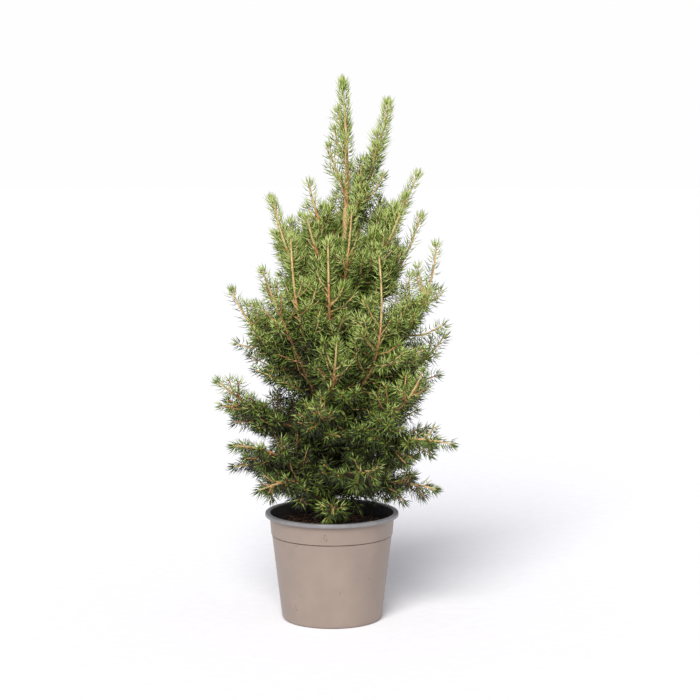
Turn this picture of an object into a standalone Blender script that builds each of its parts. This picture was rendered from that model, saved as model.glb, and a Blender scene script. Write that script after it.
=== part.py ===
"""Dwarf Alberta spruce in a nursery pot: pot, soil, trunk, boughs and masses of needled shoots.

Metres, +Z up. The pot stands on Z = 0 with its axis on Z, and -Y is the plant's front.
Each limb leaves the trunk, runs bare as a bough where it is old enough, and goes on as a mass:
a stem with side shoots, whose needles are larger and fewer than life. Limbs and shoots are
worked out from the sizes and the seeded rule below, and each mass keeps clear of the others.
"""

import math
import random
from collections import namedtuple

import bmesh
import bpy
from mathutils import Quaternion, Vector
from mathutils.bvhtree import BVHTree

PLANT = "potted_spruce"
HELPERS = "helpers"
GAP = 0.0003  # clearance between solids that touch on the real plant

# Pot: a thin shell with a lip, a shallow band under it, a step below that and a foot ring.
POT_HEIGHT = 0.138
LIP_RADIUS = 0.085
LIP_DROP = 0.0046
LIP_ROLL = 0.0010
WALL_TOP_RADIUS = 0.0796
BAND_FOOT_HEIGHT = 0.110
BAND_FOOT_RADIUS = 0.0774
BAND_STEP = 0.0009
BASE_RADIUS = 0.0640
BASE_CORNER = 0.0045
FOOT_RING_INNER = 0.0520
FOOT_RECESS = 0.0030
PAD_RADIUS = 0.0200
WALL = 0.0011
POT_SEGMENTS = 28
DRAIN_HOLES = 6
DRAIN_RADIUS = 0.0045
DRAIN_CIRCLE = 0.0400
DRAIN_SEGMENTS = 8

# Soil: fills the shell to a little under the lip.
SOIL_TOP = 0.1240
SOIL_EDGE_DIP = 0.0025
SOIL_FLAT_RADIUS = 0.020

# Trunk: leans to +X with one slow sway, from a flat cut on the soil to the tip.
TRUNK_FOOT = SOIL_TOP + GAP
TRUNK_TIP = 0.6820
TRUNK_LEAN = 0.014
TRUNK_SWAY = 0.008
TRUNK_DEPTH_SWAY = 0.004
TRUNK_RADIUS = 0.0062
TRUNK_TIP_RADIUS = 0.0008
TRUNK_TAPER = 0.9
ROOT_FLARE = 0.0045
ROOT_FLARE_HEIGHT = 0.010
TRUNK_RINGS = 18
TRUNK_RING_CROWDING = 1.6  # over 1 crowds the rings at the foot, for the flare
FOOT_LEVELLING = 0.0015  # the tube's foot ring is tilted by less than this
TRUNK_OVERRUN = 0.02  # how far the trunk's cutter runs past its ends

# Side shoots: how they turn round a limb, bend up and grow.
SHOOT_TURN = math.radians(137.5)
SHOOT_UPTURN = 0.22
SHOOT_SHARE = 0.46  # a shoot's length as a share of the limb's, at the limb's tip side
SHOOT_LONGEST = 0.066
SHOOT_SHORTEST = 0.016
FIRST_SHOOT = 0.012  # the first shoot's distance from the trunk's axis, on a limb with no bough
SHOOT_STEPS = 6

# Needles: every other point of a shoot's rings is drawn out this far.
NEEDLE_OUT = 0.0100
NEEDLE_FORWARD = 0.0085
NEEDLE_SPACING = 0.0125
SHOOT_RADII = (0.0009, 0.0028, 0.0010)  # of the core: at its root, past it and at its tip
STEM_RADII = (0.0022, 0.0028, 0.0010)
STEM_BARE_SHARE = 0.45  # a stem's side shoots hide this much of it, so it has no needles there
STEM_BARE_STEPS = 3
STEM_STEPS = 16
FULLNESS = (1.0, 0.7, 0.4, 0.2)  # a shoot that would touch another limb has shorter needles
CLEARANCE = 0.0006  # between shoots of different limbs

# How a tier's side shoots stand on a stem: their pitch, the last place for one as a share of the
# stem, and the degrees that they spread.
Habit = namedtuple("Habit", "pitch last spread")
# How the limbs of a tier bend: the control point's share of the way out and up, and its lift.
# Then the share of a limb that is bare bough, and the habit of the side shoots.
Tier = namedtuple("Tier", "out up lift bare habit")
TIERS = {
    "low": Tier(0.50, 0.90, 0.014, 0.24, Habit(0.0110, 0.84, 48)),
    "middle": Tier(0.68, 0.34, 0.004, 0.20, Habit(0.0110, 0.80, 46)),
    "steep": Tier(0.70, 0.34, 0.002, 0.0, Habit(0.0135, 0.74, 42)),
    "upper": Tier(0.72, 0.36, 0.000, 0.0, Habit(0.0155, 0.68, 36)),
}
LIMB_STEPS = 24

# Boughs
BOUGH_RADIUS = 0.0021
BOUGH_TAPER = 0.9  # loss of radius over a whole limb
BOUGH_STEPS = 4
BOUGH_LEAST_LIMB = 0.1  # a shorter limb has no bare bough

# One row a limb: height of its root, bearing of its tip (0 is +X, -90 the front), reach of the
# tip from the pot's axis and height of the tip. Some have a bend of their own, out and up, in
# place of their tier's.
Limb = namedtuple("Limb", "tier root bearing reach tip out up", defaults=(None, None))
LIMBS = [
    Limb("low", 0.138, -146, 0.146, 0.236, 0.40, 0.80),
    Limb("low", 0.146, -88, 0.080, 0.150),
    Limb("low", 0.166, -25, 0.144, 0.178),
    Limb("low", 0.158, 35, 0.134, 0.196),
    Limb("low", 0.163, 122, 0.130, 0.188),
    Limb("low", 0.168, -131, 0.136, 0.184),
    Limb("low", 0.178, -178, 0.126, 0.196),
    Limb("low", 0.186, 78, 0.138, 0.236),
    Limb("low", 0.187, -66, 0.138, 0.216, 0.50, -0.20),
    Limb("low", 0.212, -28, 0.170, 0.238),
    Limb("low", 0.205, 158, 0.142, 0.262),
    Limb("middle", 0.223, -42, 0.150, 0.332, 0.78, 0.27),
    Limb("middle", 0.232, -163, 0.148, 0.312),
    Limb("middle", 0.240, 100, 0.134, 0.330),
    Limb("middle", 0.243, -98, 0.114, 0.288),
    Limb("middle", 0.250, 6, 0.144, 0.362),
    Limb("middle", 0.256, -140, 0.110, 0.452, 0.60, 0.52),
    Limb("middle", 0.262, 50, 0.136, 0.376),
    Limb("middle", 0.268, 138, 0.134, 0.394),
    Limb("steep", 0.264, -86, 0.098, 0.368),
    Limb("steep", 0.277, -46, 0.084, 0.470, 1.30, 0.10),
    Limb("steep", 0.288, 178, 0.126, 0.420),
    Limb("steep", 0.294, 84, 0.112, 0.436),
    Limb("steep", 0.302, -128, 0.080, 0.492, 0.95, 0.28),
    Limb("steep", 0.312, -14, 0.134, 0.481, 0.95, 0.22),
    Limb("upper", 0.330, -93, 0.074, 0.488),
    Limb("upper", 0.342, 60, 0.104, 0.500),
    Limb("upper", 0.352, 10, 0.114, 0.513),
    Limb("upper", 0.362, 114, 0.098, 0.508),
    Limb("upper", 0.372, -156, 0.078, 0.533),
    Limb("upper", 0.388, -66, 0.062, 0.524),
    Limb("upper", 0.396, 154, 0.086, 0.534),
    Limb("upper", 0.412, -22, 0.092, 0.522),
    Limb("upper", 0.424, -122, 0.056, 0.516),
    Limb("upper", 0.434, 72, 0.076, 0.572),
    Limb("upper", 0.446, 6, 0.108, 0.566),
    Limb("upper", 0.458, -140, 0.036, 0.556),
    Limb("upper", 0.500, 12, 0.072, 0.655),
]

# Leader: needles and short shoots round the trunk, from above the last limb to past its tip.
LEADER_START = 0.526
LEADER_TIP = 0.690
LEADER_CORE = 0.0014  # of the sleeve, over the trunk's radius at its foot and in all at its tip
LEADER_HABIT = Habit(0.0130, 0.5, 30)
LEADER_FIRST_SHOOT = 0.05
LEADER_SIDES = 6

# Base colour and roughness
FINISHES = {
    "pot": ((0.36, 0.30, 0.25), 0.45),
    "soil": ((0.035, 0.022, 0.015), 0.95),
    "bark": ((0.36, 0.20, 0.09), 0.80),
    "foliage": ((0.10, 0.20, 0.05), 0.60),
}


def clear_scene():
    for thing in list(bpy.data.objects):
        bpy.data.objects.remove(thing, do_unlink=True)
    for name in (PLANT, HELPERS):
        group = bpy.data.collections.new(name)
        bpy.context.scene.collection.children.link(group)
    bpy.data.collections[HELPERS].hide_render = True


def material(finish):
    found = bpy.data.materials.get(finish)
    if found:
        return found
    colour, roughness = FINISHES[finish]
    made = bpy.data.materials.new(finish)
    made.use_nodes = True
    shader = made.node_tree.nodes["Principled BSDF"]
    shader.inputs["Base Color"].default_value = (*colour, 1.0)
    shader.inputs["Roughness"].default_value = roughness
    shader.inputs["Metallic"].default_value = 0.0
    return made


def add_node(name, mesh, finish):
    thing = bpy.data.objects.new(name, mesh)
    bpy.data.collections[PLANT].objects.link(thing)
    mesh.materials.clear()
    mesh.materials.append(material(finish))
    return thing


def add_helper(data):
    thing = bpy.data.objects.new("helper", data)
    bpy.data.collections[HELPERS].objects.link(thing)
    return thing


def evaluated_mesh(thing):
    """The helper's mesh with its modifiers applied. The helper is removed."""
    bpy.context.view_layer.update()
    graph = bpy.context.evaluated_depsgraph_get()
    mesh = bpy.data.meshes.new_from_object(thing.evaluated_get(graph))
    mesh.transform(thing.matrix_world)
    bpy.data.objects.remove(thing, do_unlink=True)
    return mesh


def mesh_of(shape):
    mesh = bpy.data.meshes.new("shape")
    shape.to_mesh(mesh)
    shape.free()
    return mesh


def turned(profile):
    """A solid of revolution. The profile runs up the inside and down the outside, axis to axis."""
    shape = bmesh.new()
    points = [shape.verts.new((radius, 0, height)) for radius, height in profile]
    for first, second in zip(points, points[1:]):
        shape.edges.new((first, second))
    thing = add_helper(mesh_of(shape))
    screw = thing.modifiers.new("turn", "SCREW")
    screw.steps = screw.render_steps = POT_SEGMENTS
    screw.use_merge_vertices = True
    screw.merge_threshold = 0.00001
    return evaluated_mesh(thing)


def cut(mesh, cutter):
    """The mesh less the cutter's mesh, in its largest piece."""
    thing = add_helper(mesh)
    blade = add_helper(cutter)
    boolean = thing.modifiers.new("cut", "BOOLEAN")
    boolean.operation = "DIFFERENCE"
    boolean.object = blade
    result = evaluated_mesh(thing)
    bpy.data.objects.remove(blade, do_unlink=True)
    return largest_piece(result)


def joined(meshes):
    """One closed mesh from overlapping ones."""
    thing = add_helper(meshes[0])
    others = bpy.data.collections.new("others")
    bpy.data.collections[HELPERS].children.link(others)
    for mesh in meshes[1:]:
        others.objects.link(bpy.data.objects.new("other", mesh))
    boolean = thing.modifiers.new("join", "BOOLEAN")
    boolean.operation = "UNION"
    boolean.operand_type = "COLLECTION"
    boolean.collection = others
    boolean.solver = "MANIFOLD"
    result = evaluated_mesh(thing)
    for other in list(others.objects):
        bpy.data.objects.remove(other, do_unlink=True)
    bpy.data.collections.remove(others)
    return largest_piece(result)


def largest_piece(mesh):
    """Drops every loose scrap, keeping the connected piece with the most points."""
    shape = bmesh.new()
    shape.from_mesh(mesh)
    unseen = set(shape.verts)
    pieces = []
    while unseen:
        queue = [unseen.pop()]
        piece = []
        while queue:
            vert = queue.pop()
            piece.append(vert)
            linked = {edge.other_vert(vert) for edge in vert.link_edges} & unseen
            unseen -= linked
            queue.extend(linked)
        pieces.append(piece)
    pieces.sort(key=len)
    scraps = [vert for piece in pieces[:-1] for vert in piece]
    bmesh.ops.delete(shape, geom=scraps, context="VERTS")
    return mesh_of(shape)


def tapered_tube(points, radii, resolution):
    """A closed tube through the points, with 4 + 2 x resolution sides."""
    curve = bpy.data.curves.new("tube", "CURVE")
    curve.dimensions = "3D"
    curve.bevel_depth = 1.0
    curve.bevel_resolution = resolution
    curve.use_fill_caps = True
    spline = curve.splines.new("POLY")
    spline.points.add(len(points) - 1)
    for knot, point, radius in zip(spline.points, points, radii):
        knot.co = (*point, 1.0)
        knot.radius = radius
    shape = bmesh.new()
    shape.from_mesh(evaluated_mesh(add_helper(curve)))
    bmesh.ops.remove_doubles(shape, verts=shape.verts, dist=0.000001)
    bmesh.ops.recalc_face_normals(shape, faces=shape.faces)
    return mesh_of(shape)


def along(path, share):
    """The point at a share of the path's steps."""
    place = share * (len(path) - 1)
    index = min(int(place), len(path) - 2)
    return path[index].lerp(path[index + 1], place - index)


def stretch(path, start, end, steps):
    return [along(path, start + (end - start) * step / steps) for step in range(steps + 1)]


def path_length(path):
    return sum((second - first).length for first, second in zip(path, path[1:]))


def frames(path):
    """A direction and a side vector for each point, with no needless twist."""
    last = len(path) - 1
    ways = [(path[min(i + 1, last)] - path[max(i - 1, 0)]).normalized() for i in range(last + 1)]
    side = ways[0].cross(Vector((0, 0, 1)))
    if side.length < 0.2:
        side = ways[0].cross(Vector((0, 1, 0)))
    found = [(ways[0], side.normalized())]
    for before, way in zip(ways, ways[1:]):
        side = before.rotation_difference(way) @ found[-1][1]
        found.append((way, side.normalized()))
    return found


def pot_profile():
    """From the middle of the floor's top, up the inside, over the lip, down the outside."""
    lip_in = WALL_TOP_RADIUS - WALL
    return [
        (0, FOOT_RECESS + WALL),
        (FOOT_RING_INNER - WALL, FOOT_RECESS + WALL),
        (FOOT_RING_INNER + WALL, WALL),
        (BASE_RADIUS - BASE_CORNER, WALL),
        (BASE_RADIUS - WALL, BASE_CORNER),
        (BAND_FOOT_RADIUS - BAND_STEP - WALL, BAND_FOOT_HEIGHT - BAND_STEP),
        (BAND_FOOT_RADIUS - WALL, BAND_FOOT_HEIGHT),
        (lip_in, POT_HEIGHT - LIP_ROLL),
        (lip_in + LIP_ROLL, POT_HEIGHT),
        (LIP_RADIUS - LIP_ROLL, POT_HEIGHT),
        (LIP_RADIUS, POT_HEIGHT - LIP_ROLL),
        (LIP_RADIUS, POT_HEIGHT - LIP_DROP),
        (LIP_RADIUS - WALL, POT_HEIGHT - LIP_DROP),
        (LIP_RADIUS - WALL, POT_HEIGHT - 2 * WALL),
        (WALL_TOP_RADIUS, POT_HEIGHT - 2 * WALL),
        (BAND_FOOT_RADIUS, BAND_FOOT_HEIGHT),
        (BAND_FOOT_RADIUS - BAND_STEP, BAND_FOOT_HEIGHT - BAND_STEP),
        (BASE_RADIUS, BASE_CORNER),
        (BASE_RADIUS - BASE_CORNER * 0.3, BASE_CORNER * 0.3),
        (BASE_RADIUS - BASE_CORNER, 0),
        (FOOT_RING_INNER, 0),
        (FOOT_RING_INNER - WALL, FOOT_RECESS),
        (PAD_RADIUS + WALL, FOOT_RECESS),
        (PAD_RADIUS, 0),
        (0, 0),
    ]


def wall_inside(height):
    """The shell's inner radius at a height above its base corner."""
    low, high = BASE_CORNER, BAND_FOOT_HEIGHT - BAND_STEP
    low_radius, high_radius = BASE_RADIUS - WALL, BAND_FOOT_RADIUS - BAND_STEP - WALL
    if height > high:
        low, high = BAND_FOOT_HEIGHT, POT_HEIGHT - LIP_ROLL
        low_radius, high_radius = BAND_FOOT_RADIUS - WALL, WALL_TOP_RADIUS - WALL
    return low_radius + (high_radius - low_radius) * (height - low) / (high - low)


def build_pot():
    shell = turned(pot_profile())
    for hole in range(DRAIN_HOLES):
        angle = 2 * math.pi * hole / DRAIN_HOLES
        drill = bmesh.new()
        bmesh.ops.create_cone(
            drill, cap_ends=True, segments=DRAIN_SEGMENTS,
            radius1=DRAIN_RADIUS, radius2=DRAIN_RADIUS, depth=4 * FOOT_RECESS,
        )
        middle = Vector((math.cos(angle), math.sin(angle), 0)) * DRAIN_CIRCLE
        middle.z = FOOT_RECESS
        bmesh.ops.translate(drill, verts=drill.verts, vec=middle)
        shell = cut(shell, mesh_of(drill))
    add_node("pot", shell, "pot")
    return shell


def build_soil():
    """A plug that follows the inside of the shell a gap away, sloping a little to its edge."""
    edge_top = SOIL_TOP - SOIL_EDGE_DIP
    over_step = BAND_FOOT_HEIGHT + GAP
    under_step = BAND_FOOT_HEIGHT - BAND_STEP
    floor = WALL + GAP
    soil = turned([
        (0, SOIL_TOP),
        (SOIL_FLAT_RADIUS, SOIL_TOP),
        (wall_inside(edge_top) - GAP, edge_top),
        (wall_inside(over_step) - GAP, over_step),
        (wall_inside(under_step) - GAP, under_step),
        (wall_inside(BASE_CORNER) - GAP, BASE_CORNER + GAP),
        (BASE_RADIUS - BASE_CORNER - GAP, floor),
        (FOOT_RING_INNER + WALL, floor),
        (FOOT_RING_INNER - WALL, FOOT_RECESS + floor),
        (0, FOOT_RECESS + floor),
    ])
    add_node("soil", soil, "soil")
    return soil


def trunk_point(height):
    share = (height - TRUNK_FOOT) / (TRUNK_TIP - TRUNK_FOOT)
    turn = 2 * math.pi * min(share, 1.0)
    across = TRUNK_LEAN * share - TRUNK_SWAY * math.sin(turn)
    return Vector((across, TRUNK_DEPTH_SWAY * math.sin(1.5 * turn), height))


def trunk_radius(height):
    share = min(1.0, (height - TRUNK_FOOT) / (TRUNK_TIP - TRUNK_FOOT))
    flare = ROOT_FLARE * math.exp(-(height - TRUNK_FOOT) / ROOT_FLARE_HEIGHT)
    return TRUNK_TIP_RADIUS + TRUNK_RADIUS * (1 - share) ** TRUNK_TAPER + flare


def trunk_mesh(grown=0.0, overrun=0.0):
    """The trunk, or the same shape grown all round and past both ends as a cutter."""
    shares = [(ring / (TRUNK_RINGS - 1)) ** TRUNK_RING_CROWDING for ring in range(TRUNK_RINGS)]
    heights = [TRUNK_FOOT + share * (TRUNK_TIP - TRUNK_FOOT) for share in shares]
    points = [trunk_point(height) for height in heights]
    radii = [trunk_radius(height) + grown for height in heights]
    points[0].z -= overrun
    points[-1].z += overrun
    mesh = tapered_tube(points, radii, 3)
    for vert in mesh.vertices:
        if vert.co.z < points[0].z + FOOT_LEVELLING:
            vert.co.z = points[0].z
    return mesh


def limb_path(limb):
    """Points from the trunk's axis to the limb's tip, on a quadratic curve."""
    tier = TIERS[limb.tier]
    bearing = math.radians(limb.bearing)
    root = trunk_point(limb.root)
    tip = Vector((limb.reach * math.cos(bearing), limb.reach * math.sin(bearing), limb.tip))
    way = tip - root
    out, up = limb.out or tier.out, limb.up or tier.up
    bend = root + Vector((way.x * out, way.y * out, way.z * up + tier.lift))
    shares = [step / LIMB_STEPS for step in range(LIMB_STEPS + 1)]
    return [root * (1 - t) ** 2 + bend * 2 * t * (1 - t) + tip * t**2 for t in shares]


def bough_share(limb):
    """The share of the limb that is bare bough: 0 for one with foliage from its root."""
    long_enough = path_length(limb_path(limb)) > BOUGH_LEAST_LIMB
    return TIERS[limb.tier].bare if long_enough else 0.0


def build_boughs(space):
    for number, limb in enumerate(LIMBS, 1):
        end = bough_share(limb)
        if not end:
            continue
        points = stretch(limb_path(limb), 0.0, end, BOUGH_STEPS)
        shares = [end * step / BOUGH_STEPS for step in range(BOUGH_STEPS + 1)]
        radii = [BOUGH_RADIUS * (1 - BOUGH_TAPER * share) for share in shares]
        bough = cut(tapered_tube(points, radii, 1), trunk_mesh(GAP, TRUNK_OVERRUN))
        add_node(f"bough_{number:02d}_{limb.tier}", bough, "bark")
        space.take(number, bough)


class Space:
    """What is already taken, so that each mass keeps to its own space."""

    def __init__(self):
        self.taken = []

    @staticmethod
    def tree(mesh):
        points = [vert.co.copy() for vert in mesh.vertices]
        low = [min(point[axis] for point in points) for axis in range(3)]
        high = [max(point[axis] for point in points) for axis in range(3)]
        faces = [tuple(face.vertices) for face in mesh.polygons]
        return low, high, BVHTree.FromPolygons(points, faces)

    def take(self, owner, mesh):
        self.taken.append((owner, *self.tree(mesh)))

    def is_free(self, owner, mesh):
        """Whether the mesh touches nothing but what its owner has taken."""
        low, high, tree = self.tree(mesh)
        for other, other_low, other_high, other_tree in self.taken:
            near = all(
                low[axis] < other_high[axis] and high[axis] > other_low[axis]
                for axis in range(3)
            )
            if near and other != owner and tree.overlap(other_tree):
                return False
        return True


def needled_shoot(path, radii, bare=0.0, sides=3, fullness=1.0, grown=0.0):
    """A slim closed core along the path, every other point of a ring drawn out into a needle."""
    root_radius, radius, tip_radius = radii
    bare_steps = STEM_BARE_STEPS if bare else 0
    needled_steps = max(3, round(path_length(path) * (1 - bare) / NEEDLE_SPACING))
    places = stretch(path, bare, 1.0, needled_steps)
    if bare:
        places = stretch(path, 0.0, bare, bare_steps)[:-1] + places
    last = len(places) - 1
    ways = frames(places)
    shape = bmesh.new()
    bmesh.ops.create_cone(shape, cap_ends=True, segments=sides, radius1=1, radius2=1, depth=1)
    lengthwise = [e for e in shape.edges if abs(e.verts[0].co.z - e.verts[1].co.z) > 0.5]
    bmesh.ops.subdivide_edges(shape, edges=lengthwise, cuts=last - 1)
    for vert in shape.verts:
        ring = round((vert.co.z + 0.5) * last)
        angle = math.atan2(vert.co.y, vert.co.x)
        corner = round(angle * sides / (2 * math.pi))
        way, side = ways[ring]
        across = Quaternion(way, angle) @ side
        core = radius + (tip_radius - radius) * ring / last if ring else root_radius
        vert.co = places[ring] + across * (core + grown)
        if bare_steps < ring < last and (ring + corner) % 2 == 0:
            out = max(core, NEEDLE_OUT * fullness) + grown
            vert.co = places[ring] + across * out + way * NEEDLE_FORWARD * fullness
    bmesh.ops.triangulate(shape, faces=shape.faces, quad_method="SHORT_EDGE")
    bmesh.ops.recalc_face_normals(shape, faces=shape.faces)
    return mesh_of(shape)


def fitting_shoot(space, owner, path, radii, bare=0.0):
    """The fullest needled shoot on the path that is clear of all other limbs, or None."""
    for fullness in FULLNESS:
        wide = needled_shoot(path, radii, bare, fullness=fullness, grown=CLEARANCE)
        if space.is_free(owner, wide):
            return needled_shoot(path, radii, bare, fullness=fullness)
    return None


def side_shoots(name, path, start, habit):
    """The paths of a limb's side shoots, by the seeded rule."""
    length = path_length(path)
    count = int(length * (habit.last - start) / habit.pitch)
    ways = frames(path)
    made = []
    for index in range(count):
        chance = random.Random(f"{name} {index}")
        place = start + (habit.last - start) * (index + chance.uniform(0.2, 0.8)) / count
        root = along(path, place)
        way, side = ways[int(place * (len(path) - 1))]
        turn = SHOOT_TURN * index + chance.uniform(-0.35, 0.35)
        across = Quaternion(way, turn) @ side
        spread = math.radians(habit.spread) * chance.uniform(0.85, 1.15)
        heading = way * math.cos(spread) + across * math.sin(spread)
        reach = length * SHOOT_SHARE * (1.08 - place) * chance.uniform(0.75, 1.1)
        reach = max(SHOOT_SHORTEST, min(SHOOT_LONGEST, reach))
        raised = (heading + Vector((0, 0, SHOOT_UPTURN))).normalized()
        made.append(stretch([root, root + heading * reach / 2, root + raised * reach],
                            0.0, 1.0, SHOOT_STEPS))
    return made


def build_masses(space):
    """Every limb gets its stem first. Then the limbs take turns to get a side shoot each."""
    masses = []
    for number, limb in enumerate(LIMBS, 1):
        path = limb_path(limb)
        length = path_length(path)
        start = bough_share(limb) + GAP / length
        stem_path = stretch(path, start, 1.0, STEM_STEPS)
        stem = fitting_shoot(space, number, stem_path, STEM_RADII, STEM_BARE_SHARE)
        if stem is None:
            raise RuntimeError(f"the stem of limb {number} touches another limb")
        space.take(number, stem)
        first_shoot = max(start, FIRST_SHOOT / length)
        shoots = side_shoots(f"limb {number}", path, first_shoot, TIERS[limb.tier].habit)
        masses.append((number, [stem], shoots))
    most = max(len(shoots) for _, _, shoots in masses)
    for turn in range(most):
        for number, meshes, shoots in masses:
            if turn >= len(shoots):
                continue
            shoot = fitting_shoot(space, number, shoots[turn], SHOOT_RADII)
            if shoot:
                space.take(f"shoots of {number}", shoot)
                meshes.append(shoot)
    for number, meshes, _ in masses:
        limb = LIMBS[number - 1]
        mass = joined(meshes)
        if not bough_share(limb):
            mass = cut(mass, trunk_mesh(GAP, TRUNK_OVERRUN))
        add_node(f"foliage_{number:02d}_{limb.tier}", mass, "foliage")


def build_leader(space):
    heights = [
        LEADER_START + (LEADER_TIP - LEADER_START) * step / STEM_STEPS
        for step in range(STEM_STEPS + 1)
    ]
    path = [trunk_point(height) for height in heights]
    foot_radius = trunk_radius(LEADER_START) + LEADER_CORE
    sleeve = needled_shoot(path, (foot_radius, foot_radius, LEADER_CORE), sides=LEADER_SIDES)
    shoots = side_shoots("leader", path, LEADER_FIRST_SHOOT, LEADER_HABIT)
    leader = joined([sleeve] + [needled_shoot(shoot, SHOOT_RADII) for shoot in shoots])
    leader = cut(leader, trunk_mesh(GAP))
    add_node("foliage_leader", leader, "foliage")
    space.take("leader", leader)


def main():
    clear_scene()
    space = Space()
    space.take("pot", build_pot())
    space.take("soil", build_soil())
    add_node("trunk", trunk_mesh(), "bark")
    build_boughs(space)
    build_leader(space)
    build_masses(space)


main()
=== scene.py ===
import math
import random

import bmesh
import bpy
import numpy as np
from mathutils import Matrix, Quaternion, Vector, kdtree, noise


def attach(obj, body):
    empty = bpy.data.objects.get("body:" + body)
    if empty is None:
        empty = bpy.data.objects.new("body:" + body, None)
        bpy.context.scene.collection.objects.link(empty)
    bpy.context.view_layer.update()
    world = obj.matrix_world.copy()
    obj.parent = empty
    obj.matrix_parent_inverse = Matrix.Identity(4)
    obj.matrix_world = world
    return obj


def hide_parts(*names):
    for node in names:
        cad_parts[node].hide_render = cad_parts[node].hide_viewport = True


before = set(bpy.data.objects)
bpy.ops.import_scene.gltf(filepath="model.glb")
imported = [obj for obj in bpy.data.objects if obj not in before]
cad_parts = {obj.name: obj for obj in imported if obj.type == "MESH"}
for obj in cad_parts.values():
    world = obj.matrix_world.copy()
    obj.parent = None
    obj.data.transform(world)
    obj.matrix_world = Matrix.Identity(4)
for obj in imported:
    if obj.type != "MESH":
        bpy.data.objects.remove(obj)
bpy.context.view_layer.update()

nodeNames = list(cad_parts)


# helpers for every piece

def hexColour(code):  # "#RRGGBB" in sRGB to a linear RGBA value
    parts = [int(code[i:i + 2], 16) / 255 for i in (1, 3, 5)]
    return (*[p / 12.92 if p <= 0.04045 else ((p + 0.055) / 1.055) ** 2.4 for p in parts], 1.0)


def addNode(tree, kind, settings=None, values=None, links=None, stops=None):
    # stops are a ramp's places, each with a hex colour or a plain level
    node = tree.nodes.new(kind)
    for name, value in (settings or {}).items():
        setattr(node, name, value)
    for socket, value in (values or {}).items():
        node.inputs[socket].default_value = value
    for socket, source in (links or {}).items():
        tree.links.new(source, node.inputs[socket])
    while stops and len(node.color_ramp.elements) < len(stops):
        node.color_ramp.elements.new(1.0)
    for element, (place, level) in zip(node.color_ramp.elements if stops else [], stops or []):
        element.position = place
        element.color = hexColour(level) if isinstance(level, str) else (level, level, level, 1.0)
    return node


def startMaterial(name, values):  # a material, its node tree and its shader
    made = bpy.data.materials.new(name)
    made.use_nodes = True
    tree = made.node_tree
    shader = tree.nodes["Principled BSDF"]
    for socket, value in values.items():
        shader.inputs[socket].default_value = value
    return made, tree, shader


def mottledMaterial(name, values, grain, stops, bump=None, stretch=None):
    # its colour and bump follow one noise; the bump is a strength and a depth, the stretch is along X, Y and Z
    made, tree, shader = startMaterial(name, values)
    place = addNode(tree, "ShaderNodeTexCoord").outputs["Object"]
    if stretch:
        place = addNode(tree, "ShaderNodeMapping", values={"Scale": stretch}, links={"Vector": place}).outputs["Vector"]
    speckle = addNode(tree, "ShaderNodeTexNoise", values=grain, links={"Vector": place}).outputs["Fac"]
    base = addNode(tree, "ShaderNodeValToRGB", links={"Fac": speckle}, stops=stops)
    tree.links.new(base.outputs["Color"], shader.inputs["Base Color"])
    if bump:
        relief = addNode(tree, "ShaderNodeBump", values=dict(zip(("Strength", "Distance"), bump)),
                         links={"Height": speckle})
        tree.links.new(relief.outputs["Normal"], shader.inputs["Normal"])
    return made


def meshPiece(name, mesh, *materials):
    thing = bpy.data.objects.new(name, mesh)
    bpy.context.scene.collection.objects.link(thing)
    for material in materials:
        mesh.materials.append(material)
    return thing


def finishShape(shape, name):  # doubles merged, faces turned outwards
    bmesh.ops.remove_doubles(shape, verts=shape.verts, dist=0.000002)
    bmesh.ops.recalc_face_normals(shape, faces=shape.faces)
    mesh = bpy.data.meshes.new(name)
    shape.to_mesh(mesh)
    shape.free()
    return mesh


def dress(piece, slotName, *replaced):  # rides on the plant and hides the parts it replaces
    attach(piece, "root")
    if replaced:
        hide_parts(*replaced)


def arraysOf(shape):  # the points and triangles of a shape that is done with
    bmesh.ops.triangulate(shape, faces=shape.faces)
    bmesh.ops.recalc_face_normals(shape, faces=shape.faces)
    shape.verts.index_update()
    points = np.array([vert.co[:] for vert in shape.verts])
    faces = np.array([[vert.index for vert in face.verts] for face in shape.faces])
    shape.free()
    return points, faces


def joined(points, faces):  # copies of one form, each with its own points, as one shape
    every = faces[None] + (np.arange(len(points)) * points.shape[1])[:, None, None]
    return points.reshape(-1, 3), every.reshape(-1, 3)


def arrayPiece(name, points, faces, material, slotName, *replaced):  # a dressed piece from points and triangles
    mesh = bpy.data.meshes.new(name)
    mesh.vertices.add(len(points))
    mesh.vertices.foreach_set("co", points.astype(np.float32).ravel())
    mesh.loops.add(len(faces) * 3)
    mesh.loops.foreach_set("vertex_index", faces.astype(np.int32).ravel())
    mesh.polygons.add(len(faces))
    mesh.polygons.foreach_set("loop_start", np.arange(0, len(faces) * 3, 3, dtype=np.int32))
    mesh.update(calc_edges=True)
    mesh.validate()
    dress(meshPiece(name, mesh, material), slotName, *replaced)


# camera, light and floor

cameraSetup = {"place": (0.023, -2.6, 0.6697), "pitch": -7.116, "lens": 106.70, "sensor": 36.0}
camera = bpy.data.objects.new("camera", bpy.data.cameras.new("camera"))
camera.location = cameraSetup["place"]
camera.rotation_euler = (math.radians(90 + cameraSetup["pitch"]), 0, 0)
camera.data.lens = cameraSetup["lens"]
camera.data.sensor_width = cameraSetup["sensor"]
camera.data.clip_end = 60
bpy.context.scene.collection.objects.link(camera)
bpy.context.scene.camera = camera
bpy.context.scene.view_settings.view_transform = "Standard"

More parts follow.
